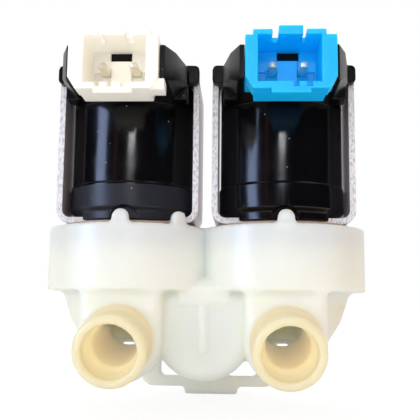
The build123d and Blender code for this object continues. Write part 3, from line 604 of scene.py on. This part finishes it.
def socket_polyamide(name, light, shade, roughness):
    """Coloured polyamide from a fine-textured tool. Its thin walls let light through, which the
    scattering and a faint emission give."""
    cloud_size = 5.0
    grain_size = 0.3
    grain_depth = 0.02
    scatter_depth = 3.5
    material, tree = start_material(name)
    place = add_node(tree, "ShaderNodeTexCoord").outputs["Object"]
    cloud = add_node(tree, "ShaderNodeTexNoise", inputs={
        "Vector": place, "Scale": 1 / (cloud_size * MM), "Detail": 3.0})
    skin = add_node(tree, "ShaderNodeMix", {"data_type": "RGBA"}, {
        0: cloud.outputs["Fac"], 6: linear(shade), 7: linear(light)})
    grain = add_node(tree, "ShaderNodeTexNoise", inputs={
        "Vector": place, "Scale": 1 / (grain_size * MM), "Detail": 2.0})
    bump = add_node(tree, "ShaderNodeBump", inputs={
        "Height": grain.outputs["Fac"], "Strength": 0.2, "Distance": grain_depth * MM})
    shader = add_node(tree, "ShaderNodeBsdfPrincipled", inputs={
        "Base Color": skin.outputs[2], "Roughness": roughness, "IOR": 1.53,
        "Specular IOR Level": 0.35,
        "Subsurface Weight": 0.7, "Subsurface Radius": (1.0, 0.97, 0.94),
        "Subsurface Scale": scatter_depth * MM, "Emission Color": skin.outputs[2],
        "Emission Strength": 0.1, "Normal": bump.outputs["Normal"]})
    add_node(tree, "ShaderNodeOutputMaterial", inputs={"Surface": shader.outputs[0]})
    return material


socket_looks = {
    "left": ("white_polyamide", 0xFBF7ED, 0xF6F0E3, 0.40),
    "right": ("blue_polyamide", 0x00BCFA, 0x00AAF4, 0.42),
}
spool_bore = 6.68
spool_radius = 7.58
cheek_radius = cover_bore - fit_gap
cheek_thickness = 1.5
socket_low, socket_roof = 51.9, 63.9
socket_ease = 0.2
lip_back = socket_mouth + 5.5
half_lip_floor = 8.2            # between the slanted corners
corner_rise = 2.7
half_foot = 7.95
half_tab = 4.25                 # the tab hangs under the lip
tab_low = 50.9
tab_thickness = 1.8
ear_width = 3.0                 # the ear stands beside the white socket's lip
ear_low, ear_top = 51.8, 54.4
half_ridge = 7.9                # the thick middle of the roof
ridge_rise = 1.2
half_catch = 2.6
catch_top = 65.9
catch_length = 5.0
half_notch = 3.7                # a notch in the roof goes on to here each side of the catch
notch_low = 62.1
half_cavity = 6.85
cavity_low = socket_low + 1.5
window_low = socket_roof - 2.2
half_window = 2.5
half_key = 2.3
coding_slots = {"left": (-3.7, -0.9, 2.1), "right": (1.4, 4.3)}
half_coding_slot = 0.55
half_pocket = 0.85              # a blind pocket in each side of the back wall
pocket_middle = 5.6
pocket_low, pocket_top = 57.05, 58.95
half_pitch = 3.5                # of the two pins of a socket
half_hole_width, half_hole_height = 1.0, 0.7
pin_hole_back = -41.0


def socket_solid(side, hand):
    """Spool, tongue and plug socket: full lip with slanted lower corners, narrower foot behind it."""
    x_axis = hand * half_spacing
    middle = x_axis + hand * socket_shift
    low_cheek = coil_low + cheek_thickness
    high_cheek = coil_top - cheek_thickness
    spool = turned([
        (spool_bore, coil_low), (cheek_radius, coil_low), (cheek_radius, low_cheek),
        (spool_radius, low_cheek), (spool_radius, high_cheek), (cheek_radius, high_cheek),
        (cheek_radius, coil_top), (spool_bore, coil_top)], x_axis)
    tongue = block(
        about(x_axis, half_tongue), (socket_back - 0.2, y_axis - cheek_radius + lap),
        (tongue_low, coil_top - 0.01))
    half_lip = [
        (-half_socket, socket_roof), (-half_socket, socket_low + corner_rise), (-half_lip_floor, socket_low)]
    lip = drawn(mirrored(middle, half_lip), "Y", socket_mouth, lip_back)
    rear = block(about(middle, half_socket), (lip_back - lap, socket_back), (shelf_low, socket_roof))
    foot = drawn([
        (lip_back - lap, shelf_low + lap), (lip_back - lap, socket_low), (socket_back - 2.0, socket_low),
        (socket_back, socket_low + 2.0), (socket_back, shelf_low + lap)],
        "X", *about(middle, half_foot))
    ridge = block(
        about(x_axis, half_ridge), (socket_mouth, socket_back), about(socket_roof, ridge_rise))
    catch = block(
        about(middle, half_catch), (socket_mouth, socket_mouth + catch_length), (socket_roof, catch_top))
    tab = block(
        about(middle, half_tab), (socket_mouth, socket_mouth + tab_thickness),
        (tab_low, socket_low + lap))
    joined = [tongue, lip, rear, foot, ridge, catch, tab]
    if side == "left":
        joined.append(block(
            (middle + half_lip_floor, middle + half_lip_floor + ear_width),
            (socket_mouth + 0.8, lip_back), (ear_low, ear_top)))
    notches = [
        block(x_span, (socket_mouth - clear, socket_mouth + catch_length), (notch_low, catch_top + 0.6))
        for x_span in (
            (x_axis - half_notch, middle - half_catch), (middle + half_catch, x_axis + half_notch))]
    cavity = block(
        about(x_axis, half_cavity), (socket_mouth - clear, socket_back - 1.2), (cavity_low, socket_roof))
    key_rib = block(
        about(x_axis, half_key), (socket_back - 2.6, socket_back - 0.7),
        (cavity_low - lap, window_low - lap))
    window = block(
        about(middle, half_window), (socket_mouth - clear, socket_back + clear), (window_low, socket_roof))
    slots = [
        block(about(x_axis + x, half_coding_slot), (socket_mouth - clear, socket_mouth + 6.0),
              (cavity_low - 1.1, cavity_low + 0.5))
        for x in coding_slots[side]]
    pockets = [
        block(about(x_axis + x, half_pocket), (socket_back - 2.0, socket_back - 0.6),
              (pocket_low, pocket_top))
        for x in (-pocket_middle, pocket_middle)]
    pin_holes = [
        block(about(x_axis + x, half_hole_width), (socket_mouth - clear, pin_hole_back),
              about(pin_z, half_hole_height))
        for x in (-half_pitch, half_pitch)]
    return carved(spool, (
        [("UNION", tool) for tool in joined] + [("DIFFERENCE", tool) for tool in [*notches, cavity]]
        + [("UNION", key_rib)]
        + [("DIFFERENCE", tool) for tool in [window, *slots, *pockets, *pin_holes]]))


for side, hand in hand_of.items():
    link_piece(
        f"socket_bobbin_{side}", eased(socket_solid(side, hand), socket_ease),
        socket_polyamide(*socket_looks[side]), "valve", [f"bobbin_{side}"])

# Terminals. Two flat pins in each socket, stamped from tinned brass strip with rounded noses; they
# stand in holes of the socket's back wall and the tongue behind it.


def tinned_brass():
    """Brass stamped from strip and tinned: pale yellow-grey metal with fine lengthwise lines."""
    line_spacing = 0.15
    material, tree = start_material("tinned_brass")
    place = add_node(tree, "ShaderNodeTexCoord").outputs["Object"]
    lengthwise = add_node(tree, "ShaderNodeMapping", inputs={"Vector": place, "Scale": (1.0, 0.05, 1.0)})
    lines = add_node(tree, "ShaderNodeTexNoise", inputs={
        "Vector": lengthwise.outputs["Vector"], "Scale": 1 / (line_spacing * MM), "Detail": 2.0})
    tone = add_node(tree, "ShaderNodeMix", {"data_type": "RGBA"}, {
        0: lines.outputs["Fac"], 6: linear(0xDCD4BC), 7: linear(0xFAF6EA)})
    shader = add_node(tree, "ShaderNodeBsdfPrincipled", inputs={
        "Base Color": tone.outputs[2], "Roughness": 0.4, "Metallic": 0.6})
    add_node(tree, "ShaderNodeOutputMaterial", inputs={"Surface": shader.outputs[0]})
    return material


half_pin = 0.95
half_pin_thickness = 0.65
pin_nose = -54.65               # middles of the round ends
pin_tail = -41.95
pin_ease = 0.3


def pin_pair(x_axis):
    """Two flat pins side by side, round at both ends."""
    pins = bmesh.new()
    for pin_x in about(x_axis, half_pitch):
        outline = arc(pin_x, pin_nose, half_pin, 180, 360, 16) + arc(pin_x, pin_tail, half_pin, 0, 180, 16)
        pins.from_mesh(drawn(outline, "Z", *about(pin_z, half_pin_thickness)))
    mesh = bpy.data.meshes.new("pins")
    pins.to_mesh(mesh)
    pins.free()
    return mesh


pin_metal = tinned_brass()
for side, hand in hand_of.items():
    link_piece(
        f"pins_{side}", eased(pin_pair(hand * half_spacing), pin_ease, 3), pin_metal,
        "valve", [f"terminals_{side}"])

# Armature guides, with the smaller white pieces. A guide is a closed tube for the plunger on a
# flange that shuts the chamber, in beige glass-filled polyamide; only a strip of it shows under
# the coil. The diaphragm inserts, the filter and the regulator's carrier are moulded in white.


def filled_polyamide(name, light, shade):
    """Glass-filled polyamide: matt, with fibres showing as pale flecks."""
    fleck_size = 0.8            # bundles of fibres, drawn coarse enough to show
    fleck_depth = 0.02
    material, tree = start_material(name)
    place = add_node(tree, "ShaderNodeTexCoord").outputs["Object"]
    fibre = add_node(tree, "ShaderNodeTexNoise", inputs={
        "Vector": place, "Scale": 1 / (fleck_size * MM), "Detail": 4.0})
    skin = add_node(tree, "ShaderNodeMix", {"data_type": "RGBA"}, {
        0: fibre.outputs["Fac"], 6: linear(shade), 7: linear(light)})
    bump = add_node(tree, "ShaderNodeBump", inputs={
        "Height": fibre.outputs["Fac"], "Strength": 0.3, "Distance": fleck_depth * MM})
    shader = add_node(tree, "ShaderNodeBsdfPrincipled", inputs={
        "Base Color": skin.outputs[2], "Roughness": 0.5, "IOR": 1.55,
        "Normal": bump.outputs["Normal"]})
    add_node(tree, "ShaderNodeOutputMaterial", inputs={"Surface": shader.outputs[0]})
    return material


guide_beige = filled_polyamide("beige_filled_polyamide", 0xC2AC98, 0xA8917E)
insert_white = filled_polyamide("white_acetal", 0xF2F2EE, 0xE4E4DE)
for side in hand_of:
    dress_node(f"armature_guide_{side}", guide_beige)
    dress_node(f"diaphragm_insert_{side}", insert_white)
dress_node("inlet_filter", insert_white)
dress_node("regulator_carrier", insert_white)

# Windings. Enamelled copper wire, wound on the bobbins in even layers and closed in by the
# covers. The real wire is about 0.1 mm thick, so its turns are drawn coarser, as a bump.


def wave_scale(spacing):
    """The scale that sets a wave texture's bands this far apart: it turns 20 radians a unit."""
    return math.tau / 20 / (spacing * MM)


def copper_winding():
    """Enamelled copper: warm metal under a clear amber lacquer, ribbed by its turns, with painted shade in
    the grooves between them.
    """
    turn_spacing = 1.184
    turn_depth = 0.1
    material, tree = start_material("enamelled_copper")
    place = add_node(tree, "ShaderNodeTexCoord").outputs["Object"]
    turns = add_node(tree, "ShaderNodeTexWave", {"bands_direction": "Z"}, {
        "Vector": place, "Scale": wave_scale(turn_spacing), "Distortion": 0.4})
    # Painted shade: the colour is darker in the grooves between the turns, where the bump sinks, and lighter
    # on their crests.
    tone = add_node(tree, "ShaderNodeMix", {"data_type": "RGBA"}, {
        0: turns.outputs["Fac"], 6: linear(0x8A4A24), 7: linear(0xC8783C)})
    bump = add_node(tree, "ShaderNodeBump", inputs={
        "Height": turns.outputs["Fac"], "Strength": 0.8, "Distance": turn_depth * MM})
    shader = add_node(tree, "ShaderNodeBsdfPrincipled", inputs={
        "Base Color": tone.outputs[2], "Roughness": 0.3, "Metallic": 0.9,
        "Normal": bump.outputs["Normal"]})
    add_node(tree, "ShaderNodeOutputMaterial", inputs={"Surface": shader.outputs[0]})
    return material


copper = copper_winding()
for side in hand_of:
    dress_node(f"winding_{side}", copper)

# Plungers and their springs. A plunger is turned from ferritic stainless steel and slides in its
# guide's tube; the coil pulls it up against a spring of stainless wire, whose end turns lie flat.


def turned_stainless():
    """Stainless steel off the lathe: grey metal with fine rings round its axis."""
    ring_spacing = 0.592        # coarser than the tool's feed, so that the rings show
    material, tree = start_material("turned_stainless")
    place = add_node(tree, "ShaderNodeTexCoord").outputs["Object"]
    rings = add_node(tree, "ShaderNodeTexWave", {"bands_direction": "Z"}, {
        "Vector": place, "Scale": wave_scale(ring_spacing), "Distortion": 1.0})
    rough = add_node(tree, "ShaderNodeMapRange", inputs={
        "Value": rings.outputs["Fac"], "To Min": 0.22, "To Max": 0.34})
    shader = add_node(tree, "ShaderNodeBsdfPrincipled", inputs={
        "Base Color": linear(0xC6C6C8), "Roughness": rough.outputs["Result"], "Metallic": 1.0})
    add_node(tree, "ShaderNodeOutputMaterial", inputs={"Surface": shader.outputs[0]})
    return material


def spring_tree():
    """A round wire wound up a helix whose end turns lie flat."""
    tree, sizes = start_tree("wound_spring", ("Radius", "Pitch", "Length", "Wire Radius", "Flat Share"))
    helix = helix_line(tree, sizes, steps=28)[0]
    place = add_node(tree, "GeometryNodeSplineParameter").outputs["Factor"]
    top_flat = add_node(tree, "ShaderNodeMath", {"operation": "SUBTRACT"}, {0: 1.0, 1: sizes["Flat Share"]})
    climbed = add_node(tree, "ShaderNodeMapRange", inputs={
        "Value": place, "From Min": sizes["Flat Share"], "From Max": top_flat.outputs[0]})
    ahead = add_node(tree, "ShaderNodeMath", {"operation": "SUBTRACT"}, {
        0: climbed.outputs["Result"], 1: place})
    rise = add_node(tree, "ShaderNodeMath", {"operation": "MULTIPLY"}, {
        0: ahead.outputs[0], 1: sizes["Length"]})
    lift = add_node(tree, "ShaderNodeCombineXYZ", inputs={"Z": rise.outputs[0]})
    flattened = add_node(tree, "GeometryNodeSetPosition", inputs={
        "Geometry": helix, "Offset": lift.outputs[0]})
    wire = add_node(tree, "GeometryNodeCurvePrimitiveCircle", inputs={
        "Resolution": 10, "Radius": sizes["Wire Radius"]})
    swept = add_node(tree, "GeometryNodeCurveToMesh", inputs={
        "Curve": flattened.outputs[0], "Profile Curve": wire.outputs[0], "Fill Caps": True})
    finish_tree(tree, swept.outputs[0], sizes["Material"])
    return tree


stainless = turned_stainless()
spring_bottom = 45.06           # heights of the wire's middle at both ends
spring_top = 61.33
spring_turns = 9
wire_radius = 0.225
spring_length = spring_top - spring_bottom
spring_values = {
    "Radius": 2.2 * MM, "Pitch": spring_length / spring_turns * MM, "Length": spring_length * MM,
    "Wire Radius": wire_radius * MM, "Flat Share": 0.09,
}
winding_up = spring_tree()
for side, hand in hand_of.items():
    dress_node(f"plunger_{side}", stainless)
    x_axis = hand * half_spacing
    spring_mesh = grow(
        f"spring_{side}", winding_up, spring_values, stainless,
        Matrix.Translation((x_axis * MM, y_axis * MM, spring_bottom * MM)))
    spring = link_piece(
        f"spring_{side}", spring_mesh, stainless, "valve", [f"plunger_spring_{side}"])
    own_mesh(spring)

# Rubber pieces. The rolling diaphragms, the plunger tips that close the pilot holes and the flow
# regulator's washer are compression-moulded in black EPDM rubber.


def black_rubber():
    """Moulded rubber: matt black with a faint bloom."""
    bloom_size = 3.0
    material, tree = start_material("moulded_epdm")
    place = add_node(tree, "ShaderNodeTexCoord").outputs["Object"]
    bloom = add_node(tree, "ShaderNodeTexNoise", inputs={
        "Vector": place, "Scale": 1 / (bloom_size * MM), "Detail": 4.0})
    tone = add_node(tree, "ShaderNodeMix", {"data_type": "RGBA"}, {
        0: bloom.outputs["Fac"], 6: linear(0x161616), 7: linear(0x2A2A2A)})
    shader = add_node(tree, "ShaderNodeBsdfPrincipled", inputs={
        "Base Color": tone.outputs[2], "Roughness": 0.7})
    add_node(tree, "ShaderNodeOutputMaterial", inputs={"Surface": shader.outputs[0]})
    return material


rubber = black_rubber()
for side in hand_of:
    dress_node(f"plunger_tip_{side}", rubber)
    disc = link_piece(
        f"rolling_diaphragm_{side}", merged_copy(f"diaphragm_{side}"), rubber, "valve",
        [f"diaphragm_{side}"])
    disc.data.shade_smooth()
    disc.data.set_sharp_from_angle(angle=hard_angle)
    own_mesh(disc)
dress_node("regulator_washer", rubber)

# Floor and room. A matt white sheet that keeps the soft shadow close under the valve; further off,
# and all round, the camera and mirrored rays see plain white, and the rest gets a weaker fill.


def pale_floor():
    """Matt white floor that reads as the white background and keeps the shadow."""
    shadow_reach = 60           # from the origin; from there on it pales to plain white
    white_reach = 300
    material, tree = start_material("pale_floor")
    path = add_node(tree, "ShaderNodeLightPath")
    seen = add_node(tree, "ShaderNodeMath", {"operation": "MAXIMUM"}, {
        0: path.outputs["Is Camera Ray"], 1: path.outputs["Is Glossy Ray"]})
    place = add_node(tree, "ShaderNodeTexCoord").outputs["Object"]
    reach = add_node(tree, "ShaderNodeVectorMath", {"operation": "LENGTH"}, {0: place})
    far = add_node(tree, "ShaderNodeMapRange", {"interpolation_type": "SMOOTHSTEP"}, {
        "Value": reach.outputs["Value"], "From Min": shadow_reach * MM, "From Max": white_reach * MM,
        "To Min": 0.8, "To Max": 1.0})
    share = add_node(tree, "ShaderNodeMath", {"operation": "MULTIPLY"}, {
        0: seen.outputs[0], 1: far.outputs["Result"]})
    paint = add_node(tree, "ShaderNodeBsdfDiffuse", inputs={"Color": linear(0xF6F6F6)})
    glow = add_node(tree, "ShaderNodeEmission", inputs={"Color": (1, 1, 1, 1), "Strength": 1.08})
    mix = add_node(tree, "ShaderNodeMixShader", inputs={
        0: share.outputs[0], 1: paint.outputs[0], 2: glow.outputs[0]})
    add_node(tree, "ShaderNodeOutputMaterial", inputs={"Surface": mix.outputs[0]})
    return material


floor_drop = 0.2
half_floor = 3000
floor_z = cad_box[0][2] - floor_drop * MM
floor_mesh = bpy.data.meshes.new("floor")
floor_mesh.from_pydata(
    [(x * half_floor * MM, y * half_floor * MM, floor_z) for x, y in ((-1, -1), (1, -1), (1, 1), (-1, 1))],
    [], [(0, 1, 2, 3)])
floor_mesh.materials.append(pale_floor())
floor = bpy.data.objects.new("floor", floor_mesh)
bpy.context.scene.collection.objects.link(floor)

world = bpy.data.worlds.new("studio")
bpy.context.scene.world = world
world.use_nodes = True
world.node_tree.nodes.clear()
sky_path = add_node(world.node_tree, "ShaderNodeLightPath")
sky_seen = add_node(world.node_tree, "ShaderNodeMath", {"operation": "MAXIMUM"}, {
    0: sky_path.outputs["Is Camera Ray"], 1: sky_path.outputs["Is Glossy Ray"]})
sky_shown = add_node(world.node_tree, "ShaderNodeMath", {"operation": "MAXIMUM"}, {
    0: sky_seen.outputs[0], 1: sky_path.outputs["Is Transmission Ray"]})
sky_fill = add_node(world.node_tree, "ShaderNodeBackground", inputs={
    "Color": linear(0xFFFFFF), "Strength": 0.6})
sky_white = add_node(world.node_tree, "ShaderNodeBackground", inputs={
    "Color": (1, 1, 1, 1), "Strength": 1.0})
sky_mix = add_node(world.node_tree, "ShaderNodeMixShader", inputs={
    0: sky_shown.outputs[0], 1: sky_fill.outputs[0], 2: sky_white.outputs[0]})
add_node(world.node_tree, "ShaderNodeOutputWorld", inputs={"Surface": sky_mix.outputs[0]})

# Lamps, placed and sized in metres. Large soft ones light the valve from the front, both sides and
# above; glossy faces don't mirror the three in front. The small ones do the reverse: they light
# nothing and show only as glints.
valve_middle = (0.0, y_axis * MM, 30 * MM)


def softbox(name, place, width, height, power, tint):
    """A rectangular soft lamp at a place, turned to the valve's middle."""
    lamp = bpy.data.lights.new(name, "AREA")
    lamp.shape = "RECTANGLE"
    lamp.size = width
    lamp.size_y = height
    lamp.energy = power
    lamp.color = linear(tint)[:3]
    holder = bpy.data.objects.new(name, lamp)
    holder.location = place
    holder.rotation_euler = (Vector(valve_middle) - Vector(place)).to_track_quat("-Z", "Y").to_euler()
    bpy.context.scene.collection.objects.link(holder)
    return holder


def around(turn, climb, reach):
    """A place seen from the valve: degrees to the right of straight ahead, degrees up, metres away."""
    flat = reach * math.cos(math.radians(climb))
    return (
        flat * math.sin(math.radians(turn)), -flat * math.cos(math.radians(turn)),
        reach * math.sin(math.radians(climb)) + valve_middle[2],
    )


for name, place, width, height, power, tint in (
        ("front_softbox", around(-8, 5, 0.9), 0.5, 0.5, 3.1, 0xFFFFFF),
        ("key_softbox", around(-50, 18, 0.75), 0.3, 0.5, 0.9, 0xFAFCFF),
        ("right_fill", around(60, 14, 0.75), 0.4, 0.5, 0.7, 0xFFB070)):
    lamp = softbox(name, place, width, height, power, tint)
    lamp.visible_glossy = False
softbox("top_softbox", (0.0, 0.1, 0.75), 0.5, 0.4, 1.8, 0xFFFFFF)
for name, place, width, height, power, tint in (
        ("window_streak", around(-54, 12, 0.75), 0.24, 0.4, 3.6, 0xBCD0FF),
        ("near_lens_lamp", around(1, 15.2, 0.7), 0.13, 0.05, 0.5, 0xFFFFFF),
        ("near_lens_glow", around(0, 11.8, 0.7), 0.05, 0.08, 0.03, 0xB8D0FF),
        ("warm_edge", around(-27, 12, 0.75), 0.03, 0.3, 0.06, 0xC87840)):
    glint = softbox(name, place, width, height, power, tint)
    glint.visible_diffuse = False
    glint.visible_transmission = False

# A dark curtain round the front, as in a room where the valve is lit by a few soft lamps: only
# mirrored rays meet it, so the black covers stay deep.


def dark_cloth():
    """Cloth that gives nothing back."""
    material, tree = start_material("dark_cloth")
    paint = add_node(tree, "ShaderNodeBsdfDiffuse", inputs={"Color": linear(0x101012)})
    add_node(tree, "ShaderNodeOutputMaterial", inputs={"Surface": paint.outputs[0]})
    return material


curtain_turns = [math.radians(angle) for angle in range(-110, 111, 10)]
curtain_reach = 1300
curtain_foot, curtain_top = -300, 1400
curtain_mesh = bpy.data.meshes.new("curtain")
curtain_mesh.from_pydata(
    [(curtain_reach * MM * math.sin(angle), -curtain_reach * MM * math.cos(angle), height * MM)
     for height in (curtain_foot, curtain_top) for angle in curtain_turns],
    [],
    [(i, i + 1, i + 1 + len(curtain_turns), i + len(curtain_turns)) for i in range(len(curtain_turns) - 1)])
curtain_mesh.materials.append(dark_cloth())
curtain = bpy.data.objects.new("curtain", curtain_mesh)
for ray in ("camera", "diffuse", "transmission", "volume_scatter", "shadow"):
    setattr(curtain, f"visible_{ray}", False)
bpy.context.scene.collection.objects.link(curtain)

# Camera. Close in front of the valve and a little under its coils, looking up. Its place, turn and
# focal length were fitted to measured points of the photograph, and its film is a full frame wide.
camera_place = Vector((7.888, -204.029, 6.134))
focal_pixels = 695.19
frame_pixels = 420
film_width = 36.0
yaw = math.radians(-2.284)
pitch = math.radians(7.647)
roll = math.radians(-0.579)
ahead = Vector((math.sin(yaw) * math.cos(pitch), math.cos(yaw) * math.cos(pitch), math.sin(pitch)))
level_right = Vector((math.cos(yaw), -math.sin(yaw), 0))
level_up = level_right.cross(ahead)
right = level_right * math.cos(roll) - level_up * math.sin(roll)
up = level_right * math.sin(roll) + level_up * math.cos(roll)
lens = bpy.data.cameras.new("camera")
lens.sensor_width = film_width
lens.lens = film_width * focal_pixels / frame_pixels
lens.clip_start = 0.01
lens.clip_end = 20.0
camera = bpy.data.objects.new("camera", lens)
turn = Matrix((right, up, -ahead)).transposed().to_4x4()
camera.matrix_world = Matrix.Translation(camera_place * MM) @ turn
bpy.context.scene.collection.objects.link(camera)
bpy.context.scene.camera = camera
bpy.context.scene.view_settings.view_transform = "Standard"
